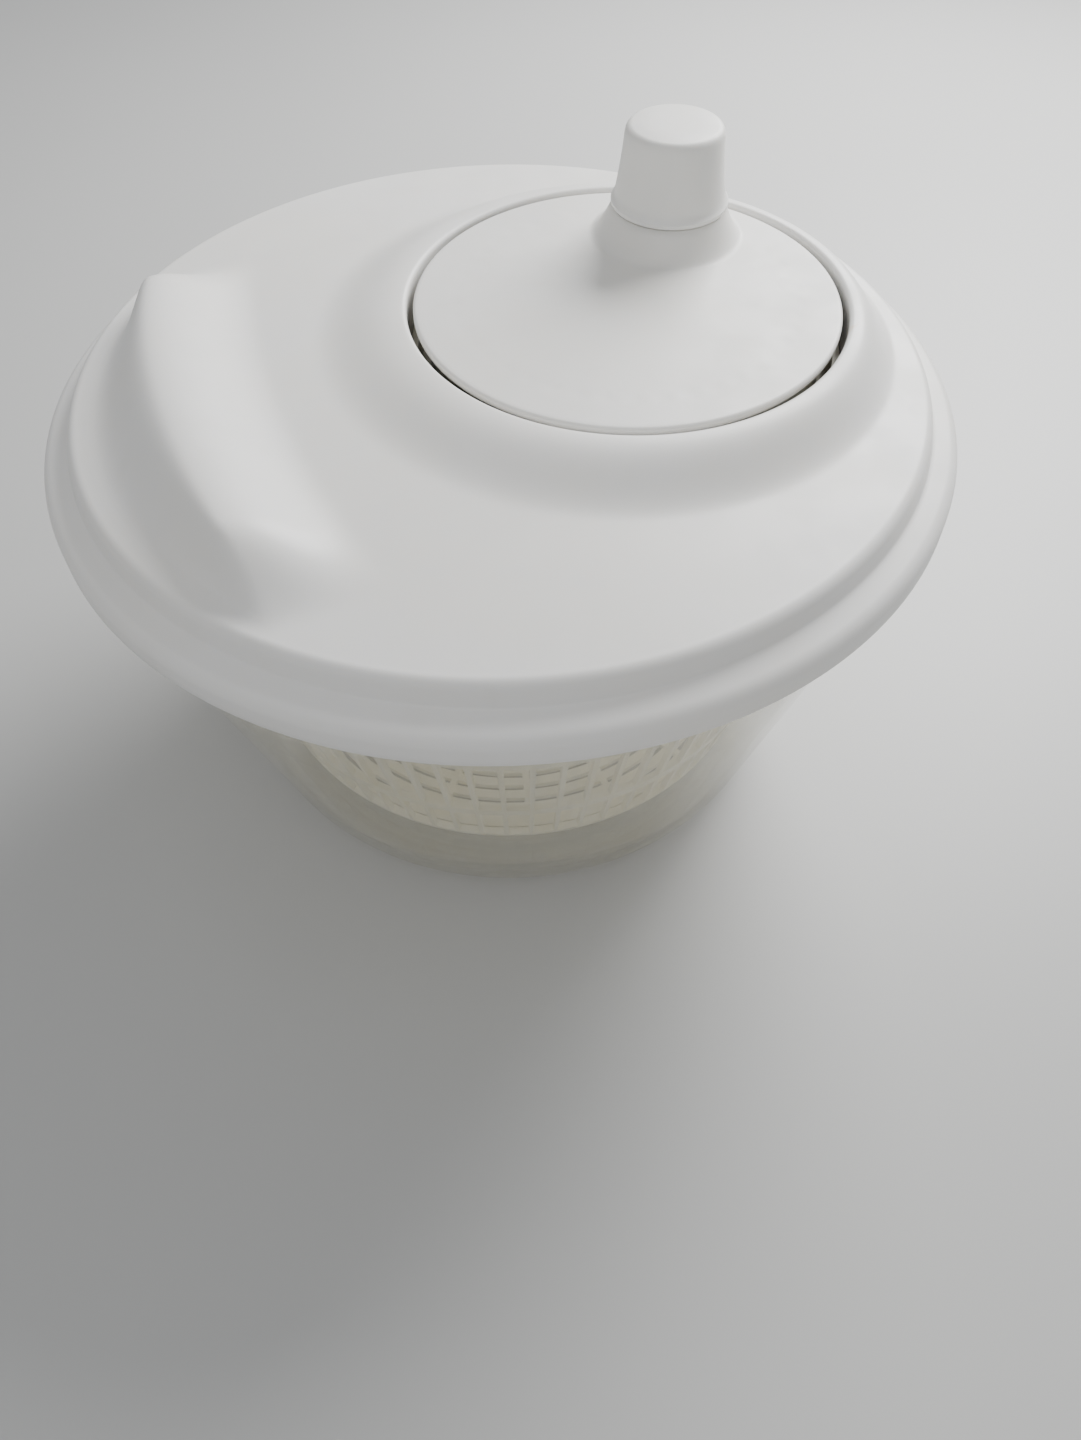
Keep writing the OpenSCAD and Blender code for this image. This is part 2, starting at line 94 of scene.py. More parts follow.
class LidSizes(bpy.types.PropertyGroup):
    """Sizes of the lid's skin"""

    wall: length("Wall", "Thickness of the lid", 2.2 * MM)
    roll: length("Roll", "Radius of the skirt's rolled edge", 4.5 * MM)
    skirt: length("Skirt", "Height of the skirt below the roll", 4.8 * MM)
    ledge: length("Ledge", "Distance from the skirt in to the crease", 8.1 * MM)
    crease: length("Crease", "Height of the crease over the skirt's edge", 10.5 * MM)
    shelf: length("Shelf", "Height of the shelf over the skirt's edge", 17.1 * MM)
    step_round: length("Step round", "Rounding from the step to the shelf", 3.4 * MM)
    dome: length("Dome", "Rise of the lid from the step to its middle", 7 * MM)
    lip: length("Lip", "Height of the turret's lip over the skirt's edge", 28.9 * MM)
    gap: length("Gap", "Gap round the crank wheel", 1.9 * MM)
    slope: length("Slope", "Narrowest width of the turret's slope", 13 * MM)
    slope_more: length("Slope, inner side", "Width that the slope gains towards the lid's middle", 12 * MM)
    hump: length("Hump", "Height of the grip hump", 12 * MM)
    crest: length("Crest", "Distance of the hump's crest from the lid's axis", 93 * MM)
    crest_bow: length("Crest bow", "Radius that the crest bows with", 310 * MM)
    hump_inner: length("Hump slope", "Width of the hump's inner slope", 30 * MM)
    hump_foot: length("Hump foot", "Distance of the hump's outer foot from the shelf's edge", 4.6 * MM)
    hump_core: length("Hump core", "Half length of the hump at its full height", 55 * MM)
    hump_reach: length("Hump reach", "Half length of the hump out to where it ends", 80 * MM)


class WheelSizes(bpy.types.PropertyGroup):
    """Sizes of the crank wheel's face"""

    edge: length("Edge", "Rounding of the wheel's edge", 1 * MM)
    thickness: length("Thickness", "Thickness of the wheel's face", 2.3 * MM)
    dome: length("Dome", "Rise of the face to its middle", 0.7 * MM)
    boss_spread: length("Boss spread", "Radius where the knob's boss meets the face", 23 * MM)
    sink: length("Sink marks", "Depth of the marks over the ring gear's teeth", 0.07 * MM)
    teeth: IntProperty(name="Teeth", description="Teeth in the ring gear under the face", default=42, min=12)


class KnobSizes(bpy.types.PropertyGroup):
    """Sizes of the knob"""

    top: length("Top", "Radius of the knob at its top", 14.2 * MM)
    wall: length("Wall", "Thickness of the knob's wall", 2.4 * MM)
    fillet: length("Fillet", "Rounding of the knob's top edge", 2.2 * MM)
    foot: length("Foot band", "Height of the straight band at the foot", 1.2 * MM)
    waist: FloatProperty(name="Waist", description="How hollow the knob's side is", default=1.5, min=1, max=3)


class BowlSizes(bpy.types.PropertyGroup):
    """Sizes of the bowl"""

    foot: length("Foot", "Outer radius where the wall meets the rounded foot", 96.5 * MM)
    top: length("Top", "Outer radius of the wall under the rim", 124.5 * MM)
    round: length("Foot round", "Radius of the rounded foot", 18 * MM)
    wall: length("Wall", "Thickness of the bowl", 2.2 * MM)
    bead: length("Bead", "Radius of the bead along the rim", 1.9 * MM)
    floor: length("Floor", "Height of the bowl's floor inside", 4 * MM)


class BasketSizes(bpy.types.PropertyGroup):
    """Sizes of the basket"""

    foot: length("Foot", "Outer radius at the floor", 85.2 * MM)
    top: length("Top", "Outer radius under the rim", 109 * MM)
    wall: length("Wall", "Thickness of the basket", 1.8 * MM)
    corner: length("Corner", "Rounding between wall and floor", 3.2 * MM)
    bars: IntProperty(name="Bars", description="Upright bars round the wall", default=68, min=12)
    bar_low: length("Bar, low", "Width of a bar at the bottom of the wall", 1.25 * MM)
    bar_high: length("Bar, high", "Width of a bar at the top of the wall", 1.9 * MM)
    ring_pitch: length("Floor rings", "Distance from one floor ring to the next", 5 * MM)
    ring_slot: length("Floor slots", "Width of a slot between floor rings", 1.9 * MM)
    spokes: IntProperty(name="Spokes", description="Spokes in the floor", default=17, min=3)


class Finishes(bpy.types.PropertyGroup):
    """Colours of the mouldings and the stage"""

    lid: colour("Lid", "White of the lid", (0.80, 0.79, 0.765))
    wheel: colour("Wheel", "White of the crank wheel", (0.79, 0.78, 0.75))
    knob: colour("Knob", "White of the knob", (0.83, 0.825, 0.80))
    bowl: colour("Bowl", "Tint of the bowl", (0.93, 0.91, 0.80))
    basket: colour("Basket", "Cream of the basket", (0.88, 0.85, 0.72))
    inner: colour("Inner mouldings", "Natural colour of the pan and driver", (0.80, 0.77, 0.66))
    acetal: colour("Bushes", "Colour of the bushes and pinion", (0.84, 0.83, 0.78))
    steel: colour("Steel", "Colour of pins, screws and washers", (0.62, 0.62, 0.63))
    stain: colour("Stain", "Faint stain on the lid", (0.72, 0.60, 0.44))
    floor: colour("Floor", "Plain pale floor", (0.50, 0.50, 0.49))


class StageSizes(bpy.types.PropertyGroup):
    """Place, direction and lens of the camera"""

    eye: FloatVectorProperty(
        name="Eye",
        description="Place of the camera",
        default=(-0.0851, -0.2573, 0.3212),
        size=3,
        subtype="TRANSLATION",
        unit="LENGTH",
    )
    heading: angle("Heading", "Direction of view, clockwise from +Y", 20.44)
    tilt: angle("Tilt", "Angle of view below the horizon", 52.1)
    roll: angle("Roll", "Turn of the camera about its view", -0.65)
    lens: FloatProperty(
        name="Lens", description="Focal length for a 36 mm frame", default=27.03, min=10, max=200
    )


class SpinnerSettings(bpy.types.PropertyGroup):
    """Everything that the pieces are built from"""

    lid: PointerProperty(type=LidSizes)
    wheel: PointerProperty(type=WheelSizes)
    knob: PointerProperty(type=KnobSizes)
    bowl: PointerProperty(type=BowlSizes)
    basket: PointerProperty(type=BasketSizes)
    finish: PointerProperty(type=Finishes)
    stage: PointerProperty(type=StageSizes)


# ---- modelling helpers ----------------------------------------------------------------------


def arc(centre, radius, start, end, steps):
    """Points (radius, height) along an arc, angles in degrees"""
    cr, cz = centre
    turns = [math.radians(start + (end - start) * i / steps) for i in range(steps + 1)]
    return [(cr + radius * math.cos(a), cz + radius * math.sin(a)) for a in turns]


def fall(t):
    """Falls smoothly from 1 at t = 0 to 0 at t = 1"""
    return 0.5 + 0.5 * math.cos(math.pi * min(max(t, 0), 1))


def spin_outline(bm, outline, steps, axis=Vector((0, 0, 0)), closed=True):
    """Turns an outline of (radius, height) about an upright axis"""
    verts = [bm.verts.new((axis.x + r, axis.y, z)) for r, z in outline]
    pairs = list(zip(verts, verts[1:]))
    if closed:
        pairs.append((verts[-1], verts[0]))
    edges = [bm.edges.new(pair) for pair in pairs]
    bmesh.ops.spin(
        bm, geom=verts + edges, cent=(axis.x, axis.y, 0), axis=UP, angle=TURN, steps=steps, use_merge=True
    )


def draw_out(bm, rings, segments):
    """Draws a circle out through rings of (centre, radius, height), and returns each ring's vertices"""
    centre, radius, height = rings[0]
    place = Matrix.Translation((centre.x, centre.y, height))
    verts = bmesh.ops.create_circle(bm, segments=segments, radius=radius, matrix=place)["verts"]
    edges = list({e for v in verts for e in v.link_edges})
    bands = [verts]
    for new_centre, new_radius, new_height in rings[1:]:
        grown = bmesh.ops.extrude_edge_only(bm, edges=edges)["geom"]
        verts = [g for g in grown if isinstance(g, bmesh.types.BMVert)]
        edges = [g for g in grown if isinstance(g, bmesh.types.BMEdge)]
        scale = new_radius / radius
        bmesh.ops.scale(bm, vec=(scale, scale, 1), space=Matrix.Translation(-centre), verts=verts)
        bmesh.ops.translate(bm, vec=new_centre - centre + UP * (new_height - height), verts=verts)
        centre, radius, height = new_centre, new_radius, new_height
        bands.append(verts)
    return bands


def tidy(bm):
    bmesh.ops.remove_doubles(bm, verts=bm.verts, dist=2e-6)
    bmesh.ops.recalc_face_normals(bm, faces=bm.faces)


def finished(bm, name, material, body, replaces, sharp=40):
    """Makes the piece, and hands it to the frame"""
    mesh = bpy.data.meshes.new(name)
    bm.to_mesh(mesh)
    bm.free()
    mesh.materials.append(material)
    mesh.shade_smooth()
    mesh.set_sharp_from_angle(angle=math.radians(sharp))
    piece = bpy.data.objects.new(name, mesh)
    bpy.context.scene.collection.objects.link(piece)
    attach(piece, body)
    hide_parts(*replaces)
    return piece


# ---- materials ------------------------------------------------------------------------------


class Finish:
    """A material under construction: a Principled shader with object coordinates"""

    def __init__(self, name, base, roughness):
        self.material = bpy.data.materials.new(name)
        self.material.use_nodes = True
        self.tree = self.material.node_tree
        self.shader = self.tree.nodes["Principled BSDF"]
        self.base = (*base, 1)
        self.shader.inputs["Base Color"].default_value = self.base
        self.shader.inputs["Roughness"].default_value = roughness
        self.coords = self.add("ShaderNodeTexCoord").outputs["Object"]

    def add(self, kind, **settings):
        node = self.tree.nodes.new(kind)
        for key, value in settings.items():
            if key in node.inputs:
                node.inputs[key].default_value = value
            else:
                setattr(node, key, value)
        return node

    def link(self, source, target):
        self.tree.links.new(source, target)

    def noise(self, size, detail=3.0, stretch=(1, 1, 1), place=(0, 0, 0), turn=0.0):
        """Noise whose features are about size across"""
        spot = self.add("ShaderNodeMapping")
        spot.inputs["Location"].default_value = place
        spot.inputs["Rotation"].default_value = (0, 0, turn)
        spot.inputs["Scale"].default_value = stretch
        cloud = self.add("ShaderNodeTexNoise", Scale=1 / size, Detail=detail)
        self.link(self.coords, spot.inputs["Vector"])
        self.link(spot.outputs["Vector"], cloud.inputs["Vector"])
        return cloud.outputs["Fac"]

    def ramp(self, source, low, high, low_value=0.0, high_value=1.0):
        span = self.add("ShaderNodeMapRange", interpolation_type="SMOOTHSTEP")
        span.inputs["From Min"].default_value = low
        span.inputs["From Max"].default_value = high
        span.inputs["To Min"].default_value = low_value
        span.inputs["To Max"].default_value = high_value
        self.link(source, span.inputs["Value"])
        return span.outputs["Result"]

    def blend(self, amount, first, second):
        """Mixes two colours, either of them a socket or plain values"""
        mix = self.add("ShaderNodeMix", data_type="RGBA")
        self.link(amount, mix.inputs["Factor"])
        for value, name in ((first, 6), (second, 7)):
            if isinstance(value, bpy.types.NodeSocket):
                self.link(value, mix.inputs[name])
            else:
                mix.inputs[name].default_value = value
        return mix.outputs[2]

    def times(self, first, second):
        node = self.add("ShaderNodeMath", operation="MULTIPLY")
        self.link(first, node.inputs[0])
        if isinstance(second, bpy.types.NodeSocket):
            self.link(second, node.inputs[1])
        else:
            node.inputs[1].default_value = second
        return node.outputs[0]

    def shade(self, factor):
        return tuple(c * f for c, f in zip(self.base, (*factor, 1)))

    def bump(self, heights, strength, distance):
        """Adds a bump on top of those already there"""
        node = self.add("ShaderNodeBump", Strength=strength, Distance=distance)
        self.link(heights, node.inputs["Height"])
        normal = self.shader.inputs["Normal"]
        if normal.is_linked:
            self.link(normal.links[0].from_socket, node.inputs["Normal"])
        self.link(node.outputs["Normal"], normal)

    def vary_colour(self, size, factor, low=0.42, high=0.62):
        """Drifts the colour towards a shade of it over patches of that size"""
        socket = self.shader.inputs["Base Color"]
        first = socket.links[0].from_socket if socket.is_linked else self.base
        patches = self.ramp(self.noise(size), low, high)
        self.link(self.blend(patches, first, self.shade(factor)), socket)

    def vary_roughness(self, size, low, high):
        self.link(self.ramp(self.noise(size), 0.35, 0.65, low, high), self.shader.inputs["Roughness"])


def grained_white(name, base, grain=0.45 * MM):
    """Matt white moulding with a fine spark-eroded grain, slightly yellowed in patches"""
    finish = Finish(name, base, 0.42)
    finish.shader.inputs["Specular IOR Level"].default_value = 0.42
    finish.shader.inputs["Subsurface Weight"].default_value = 0.12
    finish.shader.inputs["Subsurface Radius"].default_value = (0.004, 0.0034, 0.0026)
    finish.shader.inputs["Subsurface Scale"].default_value = 1.0
    finish.vary_colour(70 * MM, (1.0, 0.992, 0.972))
    finish.vary_colour(9 * MM, (0.985, 0.983, 0.975), 0.5, 0.75)
    finish.vary_roughness(14 * MM, 0.38, 0.47)
    finish.bump(finish.noise(grain, 2.0), 0.22, 0.04 * MM)
    finish.bump(finish.noise(24 * MM, 2.0), 0.12, 0.25 * MM)
    return finish


def add_specks(finish, size, tone):
    """Rare dark specks moulded into the plastic"""
    socket = finish.shader.inputs["Base Color"]
    cells = finish.add("ShaderNodeTexVoronoi", Scale=1 / (22 * MM))
    finish.link(finish.coords, cells.inputs["Vector"])
    spot = finish.ramp(cells.outputs["Distance"], size / (22 * MM), 0.6 * size / (22 * MM))
    rare = finish.ramp(finish.noise(60 * MM, 1.0), 0.52, 0.56)
    first = socket.links[0].from_socket
    finish.link(finish.blend(finish.times(spot, rare), first, finish.shade(tone)), socket)


def add_stain(finish, centre, turn, half_length, half_width, tone):
    """A faint dry streak on the surface"""
    socket = finish.shader.inputs["Base Color"]
    spot = finish.add("ShaderNodeMapping", vector_type="TEXTURE")
    spot.inputs["Location"].default_value = centre
    spot.inputs["Rotation"].default_value = (0, 0, turn)
    spot.inputs["Scale"].default_value = (half_length, half_width, 1)
    reach = finish.add("ShaderNodeVectorMath", operation="LENGTH")
    flat = finish.add("ShaderNodeVectorMath", operation="MULTIPLY")
    flat.inputs[1].default_value = (1, 1, 0)
    finish.link(finish.coords, spot.inputs["Vector"])
    finish.link(spot.outputs["Vector"], flat.inputs[0])
    finish.link(flat.outputs["Vector"], reach.inputs[0])
    inside = finish.ramp(reach.outputs["Value"], 1.0, 0.2)
    broken = finish.ramp(finish.noise(3.5 * MM, 3.0), 0.38, 0.62, 0.15, 1.0)
    amount = finish.times(finish.times(inside, broken), 0.55)
    first = socket.links[0].from_socket
    finish.link(finish.blend(amount, first, (*tone, 1)), socket)


def lid_white(settings):
    finish = grained_white("lid_white", settings.finish.lid)
    add_specks(finish, 0.28 * MM, (0.35, 0.33, 0.3))
    add_stain(finish, (88 * MM, -38 * MM, 0), math.radians(22), 10 * MM, 1.3 * MM, settings.finish.stain)
    return finish.material


def wheel_white(settings):
    finish = grained_white("wheel_white", settings.finish.wheel)
    add_specks(finish, 0.24 * MM, (0.4, 0.37, 0.33))
    return finish.material


def knob_white(settings):
    return grained_white("knob_white", settings.finish.knob, 0.4 * MM).material


def see_through(settings):
    """Translucent, slightly yellowed plastic"""
    finish = Finish("bowl_translucent", settings.finish.bowl, 0.08)
    finish.shader.inputs["IOR"].default_value = 1.49
    finish.shader.inputs["Transmission Weight"].default_value = 0.6
    finish.shader.inputs["Alpha"].default_value = 0.3
    finish.vary_colour(40 * MM, (1.0, 0.99, 0.95))
    finish.vary_roughness(18 * MM, 0.06, 0.13)
    finish.bump(finish.noise(30 * MM, 2.0), 0.03, 0.2 * MM)
    return finish.material


def cream_moulding(settings):
    finish = Finish("basket_cream", settings.finish.basket, 0.38)
    finish.shader.inputs["Subsurface Weight"].default_value = 0.2
    finish.shader.inputs["Subsurface Radius"].default_value = (0.003, 0.0026, 0.0016)
    finish.shader.inputs["Subsurface Scale"].default_value = 1.0
    finish.vary_colour(30 * MM, (0.96, 0.94, 0.88))
    finish.vary_roughness(8 * MM, 0.32, 0.45)
    finish.bump(finish.noise(0.8 * MM, 2.0), 0.12, 0.05 * MM)
    return finish.material


def natural_moulding(settings):
    finish = Finish("natural_moulding", settings.finish.inner, 0.4)
    finish.vary_colour(35 * MM, (0.97, 0.95, 0.9))
    finish.vary_roughness(10 * MM, 0.34, 0.48)
    finish.bump(finish.noise(0.9 * MM, 2.0), 0.15, 0.05 * MM)
    return finish.material


def acetal(settings):
    finish = Finish("acetal", settings.finish.acetal, 0.25)
    finish.vary_colour(6 * MM, (0.97, 0.965, 0.95))
    finish.vary_roughness(4 * MM, 0.2, 0.32)
    finish.bump(finish.noise(1.2 * MM, 2.0), 0.08, 0.03 * MM)
    return finish.material


def turned_steel(settings):
    """Bright steel with fine turning marks"""
    finish = Finish("turned_steel", settings.finish.steel, 0.25)
    finish.shader.inputs["Metallic"].default_value = 1.0
    finish.vary_colour(5 * MM, (0.92, 0.92, 0.93))
    finish.vary_roughness(3 * MM, 0.18, 0.34)
    finish.bump(finish.noise(0.5 * MM, 2.0, (0.2, 0.2, 4)), 0.15, 0.02 * MM)
    return finish.material


def plain_floor(settings):
    finish = Finish("plain_floor", settings.finish.floor, 0.45)
    finish.vary_colour(0.4, (0.985, 0.985, 0.985))
    finish.bump(finish.noise(1.5 * MM), 0.04, 0.05 * MM)
    return finish.material


# ---- shapes of the lid and the wheel --------------------------------------------------------


class LidShape:
    """The lid's surface as a height over each point, and the rings that its skin passes through"""

    def __init__(self, sizes):
        self.sizes = sizes
        self.rim_r = lid_high.x
        self.wheel_r = (wheel_high.y - wheel_low.y) / 2
        self.well_r = self.wheel_r + sizes.gap
        self.lip_r = self.well_r + 1.9 * MM
        self.lip_z = SKIRT_Z + sizes.lip
        self.shelf_z = SKIRT_Z + sizes.shelf
        self.shelf_r = self.rim_r - sizes.ledge - 0.9 * MM - sizes.step_round
        self.step_centre = (self.shelf_r, self.shelf_z - sizes.step_round)
        self.well_foot_z = self.shelf_z - 4.2 * MM
        self.hump_foot_r = self.shelf_r - sizes.hump_foot

    def crest_at(self, y):
        """Distance of the hump's crest from the lid's axis, y along the hump from its middle"""
        return self.sizes.crest - y * y / (2 * self.sizes.crest_bow)

    def hump(self, x, y):
        crest = self.crest_at(y)
        out = -x - crest
        foot = math.sqrt(max(self.hump_foot_r**2 - y * y, 0)) - crest
        along = fall((abs(y) - self.sizes.hump_core) / (self.sizes.hump_reach - self.sizes.hump_core))
        if out > 0:
            return along * fall(out / max(foot, 6 * MM))
        return along * fall(-out / self.sizes.hump_inner)

    def turret(self, x, y):
        away = Vector((x, y, 0)) - WHEEL_AXIS
        turn = math.atan2(away.y, away.x)
        width = self.sizes.slope + self.sizes.slope_more * (1 - math.cos(turn)) / 2
        return fall((away.length - self.lip_r) / width)

    def height(self, x, y):
        r = min(math.hypot(x, y), self.shelf_r)
        dome = self.shelf_z + self.sizes.dome * (1 - (r / self.shelf_r) ** 2)
        return dome + (self.lip_z - dome) * self.turret(x, y) + self.sizes.hump * self.hump(x, y)

    def well_rings(self):
        r, z = self.well_r, self.lip_z
        lip_round = 1.3 * MM
        outline = [(r, self.well_foot_z), (r, z - 1.6 * MM)]
        outline += arc((r + lip_round, z - lip_round), lip_round, 170, 90, 5)
        return [(WHEEL_AXIS, ring_r, ring_z) for ring_r, ring_z in outline]

    def span_rings(self, count):
        """Rings from the turret's lip, round the wheel, to the shelf, round the lid"""
        start = self.lip_r + 0.3 * MM
        return [
            (WHEEL_AXIS * (1 - i / count), start + (self.shelf_r - start) * i / count, self.lip_z)
            for i in range(count + 1)
        ]

    def rim_rings(self):
        sizes, rim_r = self.sizes, self.rim_r
        crease_r, crease_z = rim_r - sizes.ledge, SKIRT_Z + sizes.crease
        outline = arc(self.step_centre, sizes.step_round, 82, 14, 8)
        outline += [(crease_r - 0.22 * MM, crease_z + 0.9 * MM), (crease_r - 0.05 * MM, crease_z + 0.22 * MM)]
        outline += [(crease_r + 0.25 * MM, crease_z), (crease_r + 1.1 * MM, crease_z - 0.25 * MM)]
        outline += arc((rim_r - sizes.roll, SKIRT_Z + sizes.skirt), sizes.roll, 76, 0, 12)
        outline += [(rim_r, SKIRT_Z + 0.5 * sizes.skirt), (rim_r, SKIRT_Z)]
        return [(Vector((0, 0, 0)), ring_r, ring_z) for ring_r, ring_z in outline]


# ---- operators ------------------------------------------------------------------------------


class SPINNER_OT_lid(bpy.types.Operator):
    """Build the lid: rolled rim, ledge, step, dome, grip hump and the turret round the wheel"""

    bl_idname = "spinner.lid"
    bl_label = "Lid"

    segments = 320
    spans = 58

    def execute(self, context):
        settings = context.scene.spinner
        shape = LidShape(settings.lid)
        bm = bmesh.new()
        well, spans, rim = shape.well_rings(), shape.span_rings(self.spans), shape.rim_rings()
        bands = draw_out(bm, well + spans + rim, self.segments)
        for band in bands[len(well) : len(well) + len(spans)]:
            for vert in band:
                vert.co.z = shape.height(vert.co.x, vert.co.y)
        tidy(bm)
        lid = finished(bm, "lid_moulding", lid_white(settings), "lid", ["lid_shell"], 60)
        wall = lid.modifiers.new("wall", "SOLIDIFY")
        wall.thickness = settings.lid.wall
        wall.offset = -1
        wall.use_even_offset = True
        edge = lid.modifiers.new("edge", "BEVEL")
        edge.width = 0.5 * MM
        edge.segments = 2
        edge.limit_method = "ANGLE"
        edge.angle_limit = math.radians(70)
        return {"FINISHED"}


class SPINNER_OT_crank_wheel(bpy.types.Operator):
    """Build the crank wheel: a face with the knob's boss drawn up from it, over the ring gear and hub"""

    bl_idname = "spinner.crank_wheel"
    bl_label = "Crank wheel"

    segments = 420
    spans = 72

    def execute(self, context):
        settings = context.scene.spinner
        sizes = settings.wheel
        radius = (wheel_high.y - wheel_low.y) / 2
        boss_top, boss_r = wheel_high.z, (knob_high.x - knob_low.x) / 2 - 0.3 * MM
        face_z = wheel_high.z - 9.5 * MM
        under = face_z - sizes.thickness

        def face_height(x, y):
            spot = Vector((x, y, 0))
            away, near = (spot - WHEEL_AXIS), (spot - KNOB_AXIS).length
            t = min(max((near - boss_r) / (sizes.boss_spread - boss_r), 0), 1)
            tooth = math.cos(sizes.teeth * math.atan2(away.y, away.x))
            band = fall(abs(away.length - 48.6 * MM) / (3.2 * MM))
            dome = sizes.dome * (1 - (away.length / radius) ** 2)
            sink = sizes.sink * band * (0.5 + 0.5 * tooth) * (1 - fall((near - sizes.boss_spread) / (8 * MM)))
            return face_z + dome - sink + (boss_top - face_z - sizes.dome) * (1 - t) ** 1.7

        edge = sizes.edge
        inner = [(KNOB_AXIS, r * MM, z) for r, z in ((6.1, boss_top - 3 * MM), (6.1, boss_top))]
        inner += [(KNOB_AXIS, boss_r - 0.5 * MM, boss_top)]
        inner += [(KNOB_AXIS, boss_r - 0.12 * MM, boss_top - 0.12 * MM)]
        reach = radius - edge
        spans = [
            (KNOB_AXIS.lerp(WHEEL_AXIS, i / self.spans), boss_r + (reach - boss_r) * i / self.spans, face_z)
            for i in range(self.spans + 1)
        ]
        rounded = arc((radius - edge, face_z - edge), edge, 75, 0, 4)
        rounded += [(radius, under + 0.4 * MM), (radius - 0.4 * MM, under)]
        rounded += [(58 * MM, under), (52 * MM, under)]
        outer = [(WHEEL_AXIS, r, z) for r, z in rounded]
        bm = bmesh.new()
        bands = draw_out(bm, inner + spans + outer, self.segments)
        for band in bands[len(inner) : len(inner) + len(spans)]:
            for vert in band:
                vert.co.z = face_height(vert.co.x, vert.co.y)
        self.add_gear(bm, under)
        tidy(bm)
        finished(
            bm, "crank_wheel_moulding", wheel_white(settings), "crank_wheel", ["crank_wheel"]
        )
        return {"FINISHED"}

    def add_gear(self, bm, under):
        """The ring gear, the hub and the hollow of the boss come from the CAD part, cut off under the face"""
        gear = bmesh.new()
        gear.from_mesh(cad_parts["crank_wheel"].data)
        bmesh.ops.remove_doubles(gear, verts=gear.verts, dist=2e-6)
        everything = list(gear.verts) + list(gear.edges) + list(gear.faces)
        cut = (0, 0, under + 0.2 * MM)
        bmesh.ops.bisect_plane(gear, geom=everything, plane_co=cut, plane_no=UP, clear_outer=True)
        mesh = bpy.data.meshes.new("ring_gear")
        gear.to_mesh(mesh)
        gear.free()
        bm.from_mesh(mesh)
        bpy.data.meshes.remove(mesh)


class SPINNER_OT_knob(bpy.types.Operator):
    """Build the knob that the hand turns"""

    bl_idname = "spinner.knob"
    bl_label = "Knob"

    def execute(self, context):
        settings = context.scene.spinner
        sizes = settings.knob
        low, high = knob_low.z, knob_high.z
        base, top, wall = (knob_high.x - knob_low.x) / 2, sizes.top, sizes.wall
        rise = high - low

        def side(t, inset):
            return top - inset + (base - 0.5 * MM - top) * (1 - t) ** sizes.waist

        outer = [(side(t, 0), low + rise * t) for t in (0.09, 0.18, 0.3, 0.42, 0.54, 0.66, 0.78, 0.87)]
        inner = [(side(t, wall), low + rise * t) for t in (0.85, 0.6, 0.35, 0.15)]
        outline = [(3.97 * MM, low), (7 * MM, low), (7 * MM, high - wall)]
        outline += [(side(0.9, wall), high - wall)] + inner
        outline += [(base - wall, low), (base - 0.25 * MM, low), (base, low + 0.25 * MM)]
        outline += [(base, low + sizes.foot)]
        outline += outer + arc((top - sizes.fillet, high - sizes.fillet - 0.2 * MM), sizes.fillet, 5, 85, 6)
        outline += [(top * 0.5, high - 0.05 * MM), (0, high)]
        outline += [(0, high - wall), (3.97 * MM, high - wall)]
        bm = bmesh.new()
        spin_outline(bm, outline, 160, KNOB_AXIS)
        tidy(bm)
        finished(bm, "knob_moulding", knob_white(settings), "knob", ["knob"])
        return {"FINISHED"}


class SPINNER_OT_bowl(bpy.types.Operator):
    """Build the flared bowl with its rounded foot, beaded rim and the post for the pivot"""

    bl_idname = "spinner.bowl"
    bl_label = "Bowl"

    def execute(self, context):
        settings = context.scene.spinner
        sizes = settings.bowl
        lean = math.degrees(math.atan2(sizes.top - sizes.foot, SKIRT_Z - sizes.round))
        foot = (sizes.foot - sizes.round / math.cos(math.radians(lean)), sizes.round)
        bead = (bowl_high.x - sizes.bead, bowl_high.z - sizes.bead)
        post = bearing_low.z - 0.4 * MM
        outline = [(0, 1.6 * MM), (foot[0] - 5 * MM, 1.6 * MM), (foot[0] - 4 * MM, 0)]
        outline += arc(foot, sizes.round, -90, -lean, 14)
        outline += [(sizes.top, SKIRT_Z), (bead[0] + sizes.bead, SKIRT_Z + 1.5 * MM)]
        outline += arc(bead, sizes.bead, 0, 180, 10)
        outline += [(sizes.top - sizes.wall, SKIRT_Z)]
        outline += arc(foot, sizes.round - sizes.wall, -lean, -80, 12)
        outline += [(foot[0] - 4 * MM, sizes.floor), (18 * MM, sizes.floor)]
        outline += [(14.5 * MM, sizes.floor + 0.8 * MM)]
        outline += [(9.5 * MM, post - 2 * MM), (8.6 * MM, post - 0.7 * MM), (7.6 * MM, post)]
        outline += [(3 * MM, post), (3 * MM, sizes.floor), (0, sizes.floor)]
        bm = bmesh.new()
        spin_outline(bm, outline, 256)
        tidy(bm)
        finished(bm, "bowl_moulding", see_through(settings), "bowl", ["bowl"])
        return {"FINISHED"}


